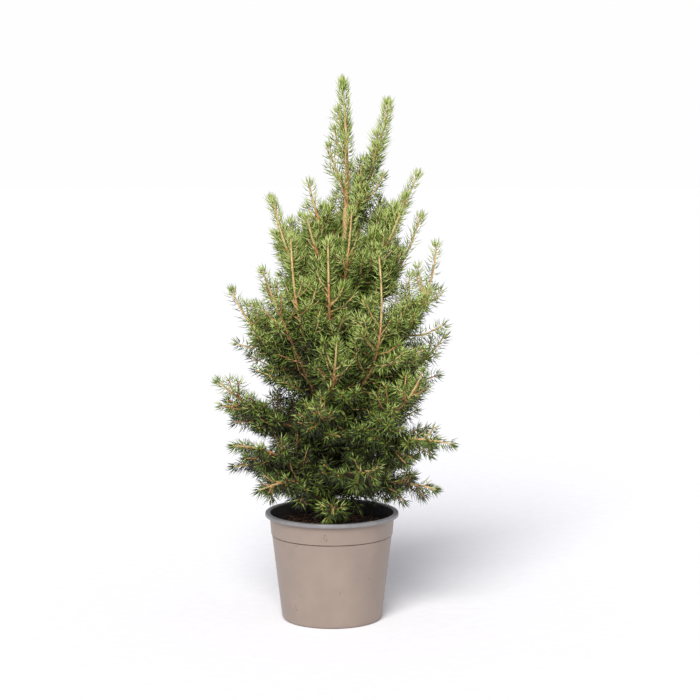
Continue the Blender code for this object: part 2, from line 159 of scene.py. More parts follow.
lightSetup = {
    "backColour": "#FFFEFF", "fillColour": "#F7F8FF", "fillStrength": 0.42,
    "keyStrength": 3.5, "keySoftness": 32, "keyTurn": (53, 0, -12),
}
world = bpy.data.worlds.new("studio")
bpy.context.scene.world = world
world.use_nodes = True
sky = world.node_tree
back = sky.nodes["Background"]  # the white sweep behind the plant
back.inputs["Color"].default_value = hexColour(lightSetup["backColour"])
fill = addNode(sky, "ShaderNodeBackground", values={
    "Color": hexColour(lightSetup["fillColour"]), "Strength": lightSetup["fillStrength"]})
seen = addNode(sky, "ShaderNodeLightPath")
both = addNode(sky, "ShaderNodeMixShader", links={
    "Fac": seen.outputs["Is Camera Ray"], 1: fill.outputs["Background"], 2: back.outputs["Background"]})
sky.links.new(both.outputs["Shader"], sky.nodes["World Output"].inputs["Surface"])
key = bpy.data.objects.new("keyLight", bpy.data.lights.new("keyLight", "SUN"))
key.data.energy = lightSetup["keyStrength"]
key.data.angle = math.radians(lightSetup["keySoftness"])
key.rotation_euler = [math.radians(turn) for turn in lightSetup["keyTurn"]]
bpy.context.scene.collection.objects.link(key)


floorSetup = {"radius": 12.0, "sides": 96}
# matt white background paper: hardly any grain, no shine
paper = mottledMaterial("paperFloorMatt", {"Roughness": 0.9}, {"Scale": 60.0, "Detail": 3.0},
                        [(0.3, "#FCFAFC"), (0.7, "#FFFEFF")])
shape = bmesh.new()
bmesh.ops.create_circle(shape, cap_ends=True, segments=floorSetup["sides"], radius=floorSetup["radius"])
floor = meshPiece("floor", finishShape(shape, "floor"), paper)
print("camera, light and floor are in")


# pot: a thin-walled pot, taupe outside with painted shade along its step, blue-grey over the lip and charcoal inside,
# darkened there as painted shade

pot = {
    "height": 0.138, "lipRadius": 0.085, "lipDrop": 0.0046, "lipRoll": 0.0010,
    "wallTopRadius": 0.0796, "bandFoot": 0.110, "bandRadius": 0.0774, "bandStep": 0.0009,
    "baseRadius": 0.064, "baseCorner": 0.0045, "footRingInner": 0.052, "footRecess": 0.003,
    "padRadius": 0.020, "wall": 0.0011, "steps": 144, "edgeRound": 0.00035,
    "holes": 6, "holeRadius": 0.0045, "holeCircle": 0.040,
}


def taupePlasticMaterial():  # moulded polypropylene, satin: soft wide highlights, dust and a few specks of soil
    made, tree, shader = startMaterial("taupePolypropyleneMoulded", {"Roughness": 0.42, "IOR": 1.49})
    place = addNode(tree, "ShaderNodeTexCoord").outputs["Object"]
    cloud = addNode(tree, "ShaderNodeTexNoise", values={"Scale": 22.0, "Detail": 4.0, "Roughness": 0.6},
                    links={"Vector": place})  # 45 mm clouds of handling marks
    base = addNode(tree, "ShaderNodeValToRGB", links={"Fac": cloud.outputs["Fac"]},
                   stops=[(0.3, "#8C7C71"), (0.7, "#98877B")])
    speck = addNode(tree, "ShaderNodeTexNoise", values={"Scale": 420.0, "Detail": 2.0},
                    links={"Vector": place})  # 2 mm specks of soil, the smallest that show
    thin = addNode(tree, "ShaderNodeTexNoise", values={"Scale": 34.0, "Detail": 1.0}, links={"Vector": place})
    where = addNode(tree, "ShaderNodeMath", {"operation": "MULTIPLY"},
                    links={0: speck.outputs["Fac"], 1: thin.outputs["Fac"]})
    mask = addNode(tree, "ShaderNodeValToRGB", links={"Fac": where.outputs["Value"]}, stops=[(0.505, 0), (0.515, 1)])
    colour = addNode(tree, "ShaderNodeMix", {"data_type": "RGBA"},
                     {"B": hexColour("#5A463A")},
                     {"Factor": mask.outputs["Color"], "A": base.outputs["Color"]})
    tree.links.new(colour.outputs["Result"], shader.inputs["Base Color"])
    rough = addNode(tree, "ShaderNodeValToRGB", links={"Fac": cloud.outputs["Fac"]}, stops=[(0.3, 0.38), (0.7, 0.50)])
    tree.links.new(rough.outputs["Color"], shader.inputs["Roughness"])
    skin = addNode(tree, "ShaderNodeTexNoise", values={"Scale": 900.0, "Detail": 2.0}, links={"Vector": place})
    bump = addNode(tree, "ShaderNodeBump", values={"Strength": 0.08, "Distance": 0.0002},
                   links={"Height": skin.outputs["Fac"]})
    tree.links.new(bump.outputs["Normal"], shader.inputs["Normal"])
    return made


potPlastics = [
    taupePlasticMaterial(),
    # the same plastic in blue-grey: the lip is rubbed pale, in 15 mm marks
    mottledMaterial("greyPolypropyleneMoulded", {"Roughness": 0.36, "IOR": 1.49},
                    {"Scale": 60.0, "Detail": 5.0, "Roughness": 0.65},
                    [(0.25, "#706D6E"), (0.6, "#848182"), (0.8, "#9E9C9D")], (0.1, 0.0002)),
    # painted shade along the moulded step, which gives the pot its thin dark line
    mottledMaterial("taupePolypropyleneStepPaintedShade", {"Roughness": 0.7}, {"Scale": 160.0, "Detail": 3.0},
                    [(0.35, "#4A3A30"), (0.7, "#6E5C51")]),
    # the inside: recycled charcoal plastic, its darkness partly painted shade, with 8 mm patches of dried peat dust
    mottledMaterial("charcoalPolypropyleneDustyPaintedShade", {"Roughness": 0.62, "IOR": 1.49},
                    {"Scale": 130.0, "Detail": 5.0, "Roughness": 0.7},
                    [(0.35, "#242223"), (0.7, "#4B423C")], (0.3, 0.0003)),
]


def potProfile():  # from the middle of the floor's top, up the inside, over the lip, down the outside
    wall, top, band, step, bandFoot = (pot[key] for key in ("wall", "height", "bandRadius", "bandStep", "bandFoot"))
    lip, roll, drop, wallTop = (pot[key] for key in ("lipRadius", "lipRoll", "lipDrop", "wallTopRadius"))
    base, corner, ring, recess, pad = (
        pot[key] for key in ("baseRadius", "baseCorner", "footRingInner", "footRecess", "padRadius"))
    return [
        (0, recess + wall), (ring - wall, recess + wall), (ring + wall, wall), (base - corner, wall),
        (base - wall, corner), (band - step - wall, bandFoot - step), (band - wall, bandFoot),
        (wallTop - wall, top - roll), (wallTop - wall + roll, top), (lip - roll, top), (lip, top - roll),
        (lip, top - drop), (lip - wall, top - drop), (lip - wall, top - 2 * wall), (wallTop, top - 2 * wall),
        (band, bandFoot), (band - step, bandFoot - step), (base, corner),
        (base - corner * 0.3, corner * 0.3), (base - corner, 0), (ring, 0), (ring - wall, recess),
        (pad + wall, recess), (pad, 0), (0, 0),
    ]


def spun(profile, steps):
    shape = bmesh.new()
    line = [shape.verts.new((radius, 0, height)) for radius, height in profile]
    for first, second in zip(line, line[1:]):
        shape.edges.new((first, second))
    bmesh.ops.spin(shape, geom=shape.verts[:] + shape.edges[:], axis=(0, 0, 1), cent=(0, 0, 0),
                   angle=2 * math.pi, steps=steps, use_merge=True)
    bmesh.ops.remove_doubles(shape, verts=shape.verts, dist=0.000002)
    bmesh.ops.recalc_face_normals(shape, faces=shape.faces)
    return shape


def buildPot():
    shape = spun(potProfile(), pot["steps"])
    sharp = [edge for edge in shape.edges if len(edge.link_faces) == 2
             and edge.calc_face_angle() > math.radians(24) and edge.verts[0].co.xy.length > 0.03]
    bmesh.ops.bevel(shape, geom=sharp, offset=pot["edgeRound"], segments=2, profile=0.5,
                    affect="EDGES", material=-1)
    for face in shape.faces:  # 0 taupe outside, 1 grey lip, 2 painted shade in the step, 3 charcoal inside with painted shade
        middle = face.calc_center_median()
        out = face.normal.xy.dot(middle.xy)
        if out < 0 and 0.0035 < middle.z < pot["height"] - 0.0012 and middle.xy.length < pot["wallTopRadius"]:
            face.material_index = 3
        elif middle.z > pot["height"] - pot["lipDrop"] - 0.0006:
            face.material_index = 1
        elif abs(middle.z - pot["bandFoot"] + pot["bandStep"] / 2) < 0.0008:
            face.material_index = 2
        face.smooth = True
    potShell = meshPiece("potShell", finishShape(shape, "potShell"), *potPlastics)
    drill = bmesh.new()
    bmesh.ops.create_cone(drill, cap_ends=True, segments=24, radius1=pot["holeRadius"],
                          radius2=pot["holeRadius"], depth=4 * pot["footRecess"])
    one = drill.verts[:] + drill.edges[:] + drill.faces[:]
    bmesh.ops.translate(drill, verts=drill.verts, vec=(pot["holeCircle"], 0, pot["footRecess"]))
    bmesh.ops.spin(drill, geom=one, axis=(0, 0, 1), cent=(0, 0, 0), angle=2 * math.pi,
                   steps=pot["holes"], use_duplicate=True)
    bmesh.ops.remove_doubles(drill, verts=drill.verts, dist=0.000002)
    cutter = meshPiece("drill", finishShape(drill, "drill"))
    holes = potShell.modifiers.new("holes", "BOOLEAN")
    holes.object, holes.operation, holes.solver = cutter, "DIFFERENCE", "EXACT"
    bpy.context.view_layer.update()
    graph = bpy.context.evaluated_depsgraph_get()
    drilled = bpy.data.meshes.new_from_object(potShell.evaluated_get(graph))
    potShell.modifiers.clear()
    potShell.data = drilled
    bpy.data.objects.remove(cutter, do_unlink=True)
    drilled.set_sharp_from_angle(angle=math.radians(40))
    dress(potShell, "pot", "pot")


buildPot()
print("the pot is turned and drilled")


# soil: lumpy peat with crumbs, fibres and fallen needles

soil = {
    "top": 0.124, "edgeDip": 0.0025, "flatRadius": 0.020, "gap": 0.0003, "rings": 46, "steps": 150,
    "lump": 0.0019, "crumbs": 800, "crumbSize": (0.0007, 0.0024), "fibres": 160, "fibreSize": (0.0005, 0.0011),
    "margin": 0.003, "fallen": 420, "fallenSize": (0.009, 0.014), "fallenLift": 0.0012, "fallenMargin": 0.016,
}


# heights and radii up the pot's wall, from its base corner to its lip
wallPlaces = list(zip(
    (pot["baseCorner"], pot["baseRadius"]), (pot["bandFoot"] - pot["bandStep"], pot["bandRadius"] - pot["bandStep"]),
    (pot["bandFoot"], pot["bandRadius"]), (pot["height"] - pot["lipRoll"], pot["wallTopRadius"]),
))


def wallInside(height):  # the pot's inner radius
    return float(np.interp(height, *wallPlaces)) - pot["wall"]


def peatMaterial(name, dark, light):  # milled peat, damp: near black and rough, in 2 mm grains
    return mottledMaterial(name, {"Roughness": 0.92}, {"Scale": 520.0, "Detail": 6.0, "Roughness": 0.7},
                           [(0.38, dark), (0.68, light)], (0.9, 0.001))


def soilHeight(x, y):
    radius = math.hypot(x, y)
    share = max(0.0, (radius - soil["flatRadius"]) / (wallInside(soil["top"]) - soil["flatRadius"]))
    lump = noise.fractal(Vector((x, y, 0.3)) * 95, 0.9, 2.1, 4) * 0.7 + noise.noise(Vector((x, y, 1.7)) * 38) * 0.6
    return soil["top"] - soil["edgeDip"] * share + soil["lump"] * (lump - 0.25)


def buildSoil():
    edge = soil["top"] - soil["edgeDip"]
    gap = soil["gap"]
    rim = wallInside(edge) - gap
    top = [(rim * ring / soil["rings"], edge) for ring in range(soil["rings"] + 1)]
    side = [
        (wallInside(pot["bandFoot"] + gap) - gap, pot["bandFoot"] + gap),
        (wallInside(pot["bandFoot"] - pot["bandStep"]) - gap, pot["bandFoot"] - pot["bandStep"]),
        (wallInside(pot["baseCorner"]) - gap, pot["baseCorner"] + gap),
        (pot["baseRadius"] - pot["baseCorner"] - gap, pot["wall"] + gap),
        (pot["footRingInner"] + pot["wall"], pot["wall"] + gap),
        (pot["footRingInner"] - pot["wall"], pot["footRecess"] + pot["wall"] + gap),
        (0, pot["footRecess"] + pot["wall"] + gap),
    ]
    shape = spun(top + side, soil["steps"])
    for vert in shape.verts:
        if vert.co.z > edge - 0.0001:
            vert.co.z = soilHeight(vert.co.x, vert.co.y)
    for face in shape.faces:
        face.smooth = True
    soilBed = meshPiece("soilBed", finishShape(shape, "soilBed"), peatMaterial("peatMilledDamp", "#0E0A08", "#2E2018"))
    dress(soilBed, "soil", "soil")


def spotOnSoil(chance, margin):  # scattered evenly, clear of the wall
    radius = (wallInside(soil["top"]) - margin) * math.sqrt(chance.random())
    angle = chance.uniform(0, 2 * math.pi)
    return radius * math.cos(angle), radius * math.sin(angle)


def tossed(seed, count, sizes, stretchBy, lift):  # small lumps on the soil from one rough stone
    stone = bmesh.new()
    bmesh.ops.create_icosphere(stone, subdivisions=1, radius=1.0)
    corners, sides = arraysOf(stone)
    chance = random.Random(seed)
    rolls = np.random.default_rng(chance.randrange(10 ** 6))
    lumps = []
    for _ in range(count):
        x, y = spotOnSoil(chance, soil["margin"])
        size = chance.uniform(*sizes)
        spread = size * np.array([chance.uniform(*reach) for reach in (stretchBy, (0.6, 1.0), (0.4, 0.8))])
        turn = Quaternion((0, 0, 1), chance.uniform(0, math.pi)) @ Quaternion((0, 1, 0), chance.uniform(-0.5, 0.5))
        lump = corners * (1 + rolls.uniform(-0.25, 0.25, (len(corners), 1))) * spread
        lumps.append(lump @ np.array(turn.to_matrix()).T + (x, y, soilHeight(x, y) + lift * size))
    return joined(np.array(lumps), sides)


buildSoil()
arrayPiece("soilCrumbs", *tossed("crumbs", soil["crumbs"], soil["crumbSize"], (0.8, 1.6), 0.3),
           peatMaterial("peatCrumbs", "#17100C", "#4A3322"), "soil")
arrayPiece("barkFibres", *tossed("fibres", soil["fibres"], soil["fibreSize"], (3.0, 8.0), 0.9),
           peatMaterial("peatBarkFibres", "#4A2E1B", "#8A6242"), "soil")
print("the soil is filled and strewn")


# growth: the trunk, 38 limbs by tier and the seeded rule for shoots

trunk = {
    "foot": 0.1243, "tip": 0.682, "lean": 0.014, "sway": 0.008, "depthSway": 0.004,
    "radius": 0.0062, "tipRadius": 0.0008, "taper": 0.8, "flare": 0.0045, "flareHeight": 0.010,
    "sides": 22, "rings": 300, "relief": 0.00055,
}
growth = {
    "turn": math.radians(137.5), "upturn": 0.22, "first": 0.012,
    "limbSteps": 24, "boughLeastLimb": 0.1, "gap": 0.0003, "twigLeastShoot": 0.034,
    "youngWood": 0.72, "woodRings": 16, "overFace": 0.003, "clearance": 0.017, "faceSteps": 60,
    "limbRadius": 0.0028, "limbTaper": 0.66, "shootRadius": 0.0014, "shootTaper": 0.5,
    "twigRadius": 0.0009, "twigTaper": 0.45,
    # where these start and end along a stem, and their pitch
    "twigs": (0.18, 0.80, 0.0150), "feet": (0.06, 0.6, 0.0050), "secondFeet": (0.06, 0.3, 0.0050),
}
# each kind of shoot: its share of its stem's length, its shortest and longest, and how far it opens
habits = {
    "own": {"share": 0.46, "shortest": 0.016, "longest": 0.066, "open": 1.0, "steps": 6},
    "between": {"share": 0.46, "shortest": 0.018, "longest": 0.060, "open": 1.2, "steps": 6},
    "again": {"share": 0.40, "shortest": 0.016, "longest": 0.050, "open": 1.5, "steps": 6},
    "foot": {"share": 0.30, "shortest": 0.020, "longest": 0.050, "open": 1.5, "steps": 6},
    "trunk": {"share": 0.22, "shortest": 0.022, "longest": 0.060, "open": 1.5, "steps": 6},
    "twig": {"share": 0.50, "shortest": 0.011, "longest": 0.028, "open": 1.0, "steps": 3},
}
# each tier: how its limbs bend (out, up, lift), the share of one that is bare bough, its shoots' pitch, the last
# place for one and the degrees that they open; how far its needles stand out and rise, the painted shade on them
# inside the crown (painted light in the upper tier) and the painted light at a tip there, how dense, how mixed their
# greens, and how far round a stem's outer face they part; where the oldest wood ends and needles start, and the share
# parted on limbs and on side shoots
usual = {
    "stand": 1.05, "innerTip": 1.0, "dense": 1.0, "mixed": 1.6, "oldWood": 0.42, "needled": 0.42,
    "parting": (0.85, 0.6, 0.0), "sideParting": 0.6,
}
tiers = {
    "low": {
        **usual, "out": 0.50, "up": 0.90, "lift": 0.014, "bare": 0.24, "pitch": 0.0110, "last": 0.84, "spread": 48,
        "rise": -0.38, "inside": -0.7, "innerTip": 1.7, "dense": 1.15, "openFace": -0.15,
        "parting": (0.9, 0.8, 0.4), "sideParting": 0.85,
    },
    "middle": {
        **usual, "out": 0.68, "up": 0.34, "lift": 0.004, "bare": 0.20, "pitch": 0.0110, "last": 0.80, "spread": 46,
        "rise": -0.14, "inside": -0.9, "openFace": 0.0,
    },
    "steep": {
        **usual, "out": 0.70, "up": 0.34, "lift": 0.002, "bare": 0.0, "pitch": 0.0135, "last": 0.74, "spread": 42,
        "rise": 0.0, "inside": 0.3, "openFace": 0.25, "oldWood": 0.30, "needled": 0.25,
    },
    "upper": {
        **usual, "out": 0.72, "up": 0.36, "lift": 0.0, "bare": 0.0, "pitch": 0.0155, "last": 0.68, "spread": 36,
        "stand": 0.85, "rise": 0.04, "inside": 2.2, "dense": 1.2, "mixed": 1.7, "openFace": 0.3,
        "oldWood": 0.30, "needled": 0.25,
    },
    "leader": {
        **usual, "pitch": 0.0130, "last": 0.5, "spread": 30, "stand": 0.75, "rise": 0.06, "mixed": 1.2,
        "openFace": 0.3,
    },
}
# root height, bearing of the tip, its reach from the axis and its height, and a bend of its own (out, up) for some
limbs = {
    "low": [
        (0.138, -146, 0.146, 0.236, 0.40, 0.80), (0.146, -88, 0.080, 0.150), (0.166, -25, 0.144, 0.178),
        (0.158, 35, 0.134, 0.196), (0.163, 122, 0.130, 0.188), (0.168, -131, 0.136, 0.184),
        (0.178, -178, 0.126, 0.196), (0.186, 78, 0.138, 0.236), (0.187, -66, 0.138, 0.216, 0.50, -0.20),
        (0.212, -28, 0.170, 0.238), (0.205, 158, 0.142, 0.262),
    ],
    "middle": [
        (0.223, -42, 0.150, 0.332, 0.78, 0.27), (0.232, -163, 0.148, 0.312), (0.240, 100, 0.134, 0.330),
        (0.243, -98, 0.114, 0.288), (0.250, 6, 0.144, 0.362), (0.256, -140, 0.110, 0.452, 0.60, 0.52),
        (0.262, 50, 0.136, 0.376), (0.268, 138, 0.134, 0.394),
    ],
    "steep": [
        (0.264, -86, 0.098, 0.368), (0.277, -46, 0.084, 0.470, 1.30, 0.10), (0.288, 178, 0.126, 0.420),
        (0.294, 84, 0.112, 0.436), (0.302, -128, 0.080, 0.492, 0.95, 0.28), (0.312, -14, 0.134, 0.481, 0.95, 0.22),
    ],
    "upper": [
        (0.330, -93, 0.074, 0.488), (0.342, 60, 0.104, 0.500), (0.352, 10, 0.114, 0.513),
        (0.362, 114, 0.098, 0.508), (0.372, -156, 0.078, 0.533), (0.388, -66, 0.062, 0.524),
        (0.396, 154, 0.086, 0.534), (0.412, -22, 0.092, 0.522), (0.424, -122, 0.056, 0.516),
        (0.434, 72, 0.076, 0.572), (0.446, 6, 0.108, 0.566), (0.458, -140, 0.036, 0.556),
        (0.500, 12, 0.072, 0.655),
    ],
}
leader = {"start": 0.526, "tip": 0.690, "firstShoot": 0.05, "steps": 16}
# the shoots straight off the trunk: where they start and end, their pitch, and the heights that end each tier
innerTrunk = {"low": 0.165, "high": 0.475, "steps": 40, "pitch": 0.0034}
tierTops = (("low", 0.22), ("middle", 0.275), ("steep", 0.325), ("upper", 1.0))
rimTuft = 2  # the short limb over the rim
secondLeader = 38  # the last limb, which grows straight up beside the leader


def trunkPoint(height):
    share = (height - trunk["foot"]) / (trunk["tip"] - trunk["foot"])
    turn = 2 * math.pi * min(share, 1.0)
    across = trunk["lean"] * share - trunk["sway"] * math.sin(turn)
    return Vector((across, trunk["depthSway"] * math.sin(1.5 * turn), height))


def trunkRadius(height):
    share = min(1.0, (height - trunk["foot"]) / (trunk["tip"] - trunk["foot"]))
    flare = trunk["flare"] * math.exp(-(height - trunk["foot"]) / trunk["flareHeight"])
    return trunk["tipRadius"] + trunk["radius"] * (1 - share) ** trunk["taper"] + flare


def trunkStretch(low, high, steps):
    return [trunkPoint(low + (high - low) * step / steps) for step in range(steps + 1)]


def limbPath(tier, row):
    rootHeight, bearing, reach, tipHeight, *own = row
    bend = tiers[tier]
    shareOut, shareUp = own or (bend["out"], bend["up"])
    bearing = math.radians(bearing)
    root = trunkPoint(rootHeight)
    tip = Vector((reach * math.cos(bearing), reach * math.sin(bearing), tipHeight))
    way = tip - root
    middle = root + Vector((way.x * shareOut, way.y * shareOut, way.z * shareUp + bend["lift"]))
    shares = [step / growth["limbSteps"] for step in range(growth["limbSteps"] + 1)]
    return [root * (1 - t) ** 2 + middle * 2 * t * (1 - t) + tip * t ** 2 for t in shares]


def along(path, share):
    place = share * (len(path) - 1)
    index = min(int(place), len(path) - 2)
    return path[index].lerp(path[index + 1], place - index)


def stretchOf(path, start, end, steps):
    return [along(path, start + (end - start) * step / steps) for step in range(steps + 1)]


def pathLength(path):
    return sum((second - first).length for first, second in zip(path, path[1:]))


def framesOf(path):  # a direction and a side vector for each point, with no needless twist
    last = len(path) - 1
    ways = [(path[min(i + 1, last)] - path[max(i - 1, 0)]).normalized() for i in range(last + 1)]
    side = ways[0].cross(Vector((0, 0, 1)))
    if side.length < 0.2:
        side = ways[0].cross(Vector((0, 1, 0)))
    found = [(ways[0], side.normalized())]
    for before, way in zip(ways, ways[1:]):
        side = before.rotation_difference(way) @ found[-1][1]
        found.append((way, side.normalized()))
    return found


def placesOf(path):  # each point's place, direction and side vector, as numbers
    return np.array([(point[:], way[:], side[:]) for point, (way, side) in zip(path, framesOf(path))])


def outerFace(point, way):  # the side of a stem that looks away from the trunk, or up where it lies flat
    rise = abs(way.z)
    away = Vector((point.x, point.y, 0)).normalized() * rise + Vector((0, 0, 1 - rise))
    return (away - way * away.dot(way)).normalized()


def sideShoots(name, path, start, last, pitch, habit, tier):
    kind = habits[habit]
    length = pathLength(path)
    count = int(length * (last - start) / pitch)
    ways = framesOf(path)
    made = []
    for index in range(count):
        chance = random.Random(f"{name} {index}")
        place = start + (last - start) * (index + chance.uniform(0.2, 0.8)) / count
        root = along(path, place)
        way, side = ways[int(place * (len(path) - 1))]
        turn = growth["turn"] * index + chance.uniform(-0.35, 0.35)
        across = Quaternion(way, turn) @ side
        spread = math.radians(tiers[tier]["spread"]) * kind["open"] * chance.uniform(0.85, 1.15)
        reach = length * kind["share"] * (1.08 - place) * chance.uniform(0.75, 1.1)
        reach = max(kind["shortest"], min(kind["longest"], reach))
        outer = outerFace(root, way)
        if across.dot(outer) > 0.3 and chance.random() < 0.8:  # most of these turn to the stem's sides
            edge = way.cross(outer)
            across = (edge * math.copysign(1, across.dot(edge)) - outer * 0.3).normalized()
        heading = way * math.cos(spread) + across * math.sin(spread)
        raised = (heading + Vector((0, 0, growth["upturn"]))).normalized()
        made.append(stretchOf([root, root + heading * reach / 2, root + raised * reach], 0.0, 1.0, kind["steps"]))
    return made


# bark: the trunk with its relief, the limbs, and the shoots and twigs on them

scalesOfBark = (1.0, 1.0, 0.45)  # longer than they are wide


def barkMaterial(name, tones, scale=480.0, depth=0.0003):  # thin scaly bark: matt, with darker cracks
    return mottledMaterial(name, {"Roughness": 0.78}, {"Scale": scale, "Detail": 5.0, "Roughness": 0.65},
                           list(zip((0.32, 0.52, 0.72), tones)), (0.6, depth), scalesOfBark)


def trunkBarkMaterial():  # grey-brown scaly bark at the foot, smooth pale orange where it is young
    made, tree, shader = startMaterial("spruceBarkScaly", {"Roughness": 0.8})
    coords = addNode(tree, "ShaderNodeTexCoord")
    place = addNode(tree, "ShaderNodeMapping", values={"Scale": scalesOfBark},
                    links={"Vector": coords.outputs["Object"]})
    grain = addNode(tree, "ShaderNodeTexNoise", values={"Scale": 330.0, "Detail": 5.0, "Roughness": 0.65},
                    links={"Vector": place.outputs["Vector"]})  # 3 mm scales
    old = addNode(tree, "ShaderNodeValToRGB", links={"Fac": grain.outputs["Fac"]},
                  stops=[(0.32, "#3A281E"), (0.52, "#5E4432"), (0.72, "#80624A")])
    young = addNode(tree, "ShaderNodeValToRGB", links={"Fac": grain.outputs["Fac"]},
                    stops=[(0.32, "#C08A58"), (0.52, "#DEAE7C"), (0.72, "#EEC898")])
    height = addNode(tree, "ShaderNodeSeparateXYZ", links={"Vector": coords.outputs["Object"]})
    age = addNode(tree, "ShaderNodeMapRange", values={"From Min": 0.20, "From Max": 0.50},
                  links={"Value": height.outputs["Z"]})
    colour = addNode(tree, "ShaderNodeMix", {"data_type": "RGBA"}, None,
                     {"Factor": age.outputs["Result"], "A": old.outputs["Color"], "B": young.outputs["Color"]})
    green = addNode(tree, "ShaderNodeMapRange", values={"From Min": 0.62, "From Max": 0.66},
                    links={"Value": height.outputs["Z"]})  # this year's wood is still green
    topped = addNode(tree, "ShaderNodeMix", {"data_type": "RGBA"}, {"B": hexColour("#B4B46C")},
                     {"Factor": green.outputs["Result"], "A": colour.outputs["Result"]})
    tree.links.new(topped.outputs["Result"], shader.inputs["Base Color"])
    bump = addNode(tree, "ShaderNodeBump", values={"Strength": 0.6, "Distance": 0.0006},
                   links={"Height": grain.outputs["Fac"]})
    tree.links.new(bump.outputs["Normal"], shader.inputs["Normal"])
    return made


bark = {
    "trunk": trunkBarkMaterial(),
    "limb": barkMaterial("spruceBarkThin", ("#7C4A2A", "#B47A48", "#DDAE7C"), 420.0, 0.0004),
    # dark dead wood on the low inner shoots, darker still as painted shade inside the crown
    "inner": barkMaterial("spruceTwigBarkDeadPaintedShade", ("#38251A", "#563A28", "#755338")),
    # the lower twigs' bark, darker than the upper twigs' as painted shade low in the crown
    "twig": barkMaterial("spruceTwigBarkBrownPaintedShade", ("#6A5232", "#8C7048", "#AC9060")),
    "old": barkMaterial("spruceTwigBarkOrange", ("#94613A", "#C4905A", "#E4BE8C")),
    "young": barkMaterial("spruceTwigBarkStraw", ("#A88850", "#CEB276", "#E6D09C")),
}


def tubeForm(sides, rings):  # a closed unit tube: each point's ring and angle, and its triangles
    shape = bmesh.new()
    bmesh.ops.create_cone(shape, cap_ends=True, segments=sides, radius1=1, radius2=1, depth=1)
    lengthwise = [edge for edge in shape.edges if abs(edge.verts[0].co.z - edge.verts[1].co.z) > 0.5]
    bmesh.ops.subdivide_edges(shape, edges=lengthwise, cuts=rings - 2)
    points, faces = arraysOf(shape)
    ring = np.round((points[:, 2] + 0.5) * (rings - 1)).astype(int)
    return ring, np.arctan2(points[:, 1], points[:, 0]), faces


def tubes(paths, radii, sides, relief=0.0):  # joined tubes, a path and its radii for each
    rings = len(paths[0])
    ring, angle, faces = tubeForm(sides, rings)
    spots, ways, side = np.moveaxis(np.array([placesOf(path) for path in paths]), 2, 0)
    up = np.cross(ways, side)
    radius = np.array(radii)[:, ring, None]
    outward = side[:, ring] * np.cos(angle)[None, :, None] + up[:, ring] * np.sin(angle)[None, :, None]
    if relief:
        rough = [noise.fractal(Vector(spot) * 260, 0.8, 2.2, 3) for spot in
                 (spots[:, ring] + outward * radius).reshape(-1, 3)]
        radius = radius * (1 + relief * np.array(rough).reshape(len(paths), -1, 1))
    return joined(spots[:, ring] + outward * radius, faces)


def buildTrunk():
    heights = [trunk["foot"] + (trunk["tip"] - trunk["foot"]) * (step / (trunk["rings"] - 1)) ** 1.15
               for step in range(trunk["rings"])]
    path = [trunkPoint(height) for height in heights]
    ring, angle, faces = tubeForm(trunk["sides"], trunk["rings"])
    found = framesOf(path)
    points = []
    for step, turn in zip(ring, angle):
        way, side = found[step]
        out = Quaternion(way, turn) @ side
        spot = path[step] + out * trunkRadius(heights[step])
        flakes = noise.voronoi(Vector((spot.x * 230, spot.y * 230, spot.z * 105)))[0]
        rough = min(1.0, (flakes[1] - flakes[0]) * 2.2) - 0.6
        rough += 0.7 * noise.fractal(spot * 300, 0.8, 2.1, 3)
        fade = min(1.0, trunkRadius(heights[step]) / 0.0045)
        spot += out * trunk["relief"] * rough * fade
        if step == 0:
            spot.z = trunk["foot"]
        points.append(spot[:])
    arrayPiece("trunkBark", np.array(points), faces, bark["trunk"], "bark", "trunk")


def clearOf(number, path):  # false where a shoot would pass over the outer face of another limb
    for point in path[2:]:
        for spot, index, _ in outerStems.find_range(point, growth["clearance"]):
            owner, face, _ = faces[index]
            if owner != number and (point - spot).dot(face) > growth["overFace"]:
                return False
    return True


def rowsOf(number, tone, *growing):  # (tier, limb, tone, path) for each side shoot: the tone is painted light, lighter on front shoots
    return [(growing[-1], number, tone, path) for path in sideShoots(*growing)]


buildTrunk()
masses = sorted(name for name in nodeNames if name.startswith("foliage"))
boughs = sorted(name for name in nodeNames if name.startswith("bough"))
lowerTiers = ("low", "middle")
limbTubes = {"limb": [], "old": [], "young": []}
stems, shoots, inner, twigs = [], [], [], []
for tier, rows in limbs.items():
    for row in rows:
        number = len(stems) + 1
        path = limbPath(tier, row)
        stems.append((tier, number, path))
        length = pathLength(path)
        bare = tiers[tier]["bare"] if length > growth["boughLeastLimb"] else 0.0
        marks, rings = (0.0, tiers[tier]["oldWood"], growth["youngWood"], 1.0), growth["woodRings"]
        for part, start, end in zip(limbTubes, marks, marks[1:]):
            radii = [growth["limbRadius"] * (1 - growth["limbTaper"] * (start + (end - start) * step / rings))
                     for step in range(rings + 1)]
            limbTubes[part].append((stretchOf(path, start, end, rings), radii))
        first = max(bare + growth["gap"] / length, growth["first"] / length)
        pitch, last = tiers[tier]["pitch"], tiers[tier]["last"]
        # each habit's tone: painted light on a limb's own shoots, painted shade on those set again further in
        rules = [("own", 0.3, first, last), ("between", 0.0, first + 0.5 * pitch / length, last),
                 ("again", -0.45, first, last * 0.8)]
        if number == secondLeader:
            rules = rules[:1]
        elif tier == "low":
            rules = rules[:2]
        for habit, tone, begin, end in rules:
            shoots += rowsOf(number, tone, f"limb {number} {habit}", path, begin, end, pitch, habit, tier)
        feet = growth["secondFeet" if number == secondLeader else "feet"]
        inner += rowsOf(number, tiers[tier]["inside"], f"limb {number} foot", path, *feet, "foot", tier)
leaderPath = trunkStretch(leader["start"], leader["tip"], leader["steps"])
shoots += rowsOf(0, 0.0, "leader", leaderPath, leader["firstShoot"], tiers["leader"]["last"],
                 tiers["leader"]["pitch"], "own", "leader")
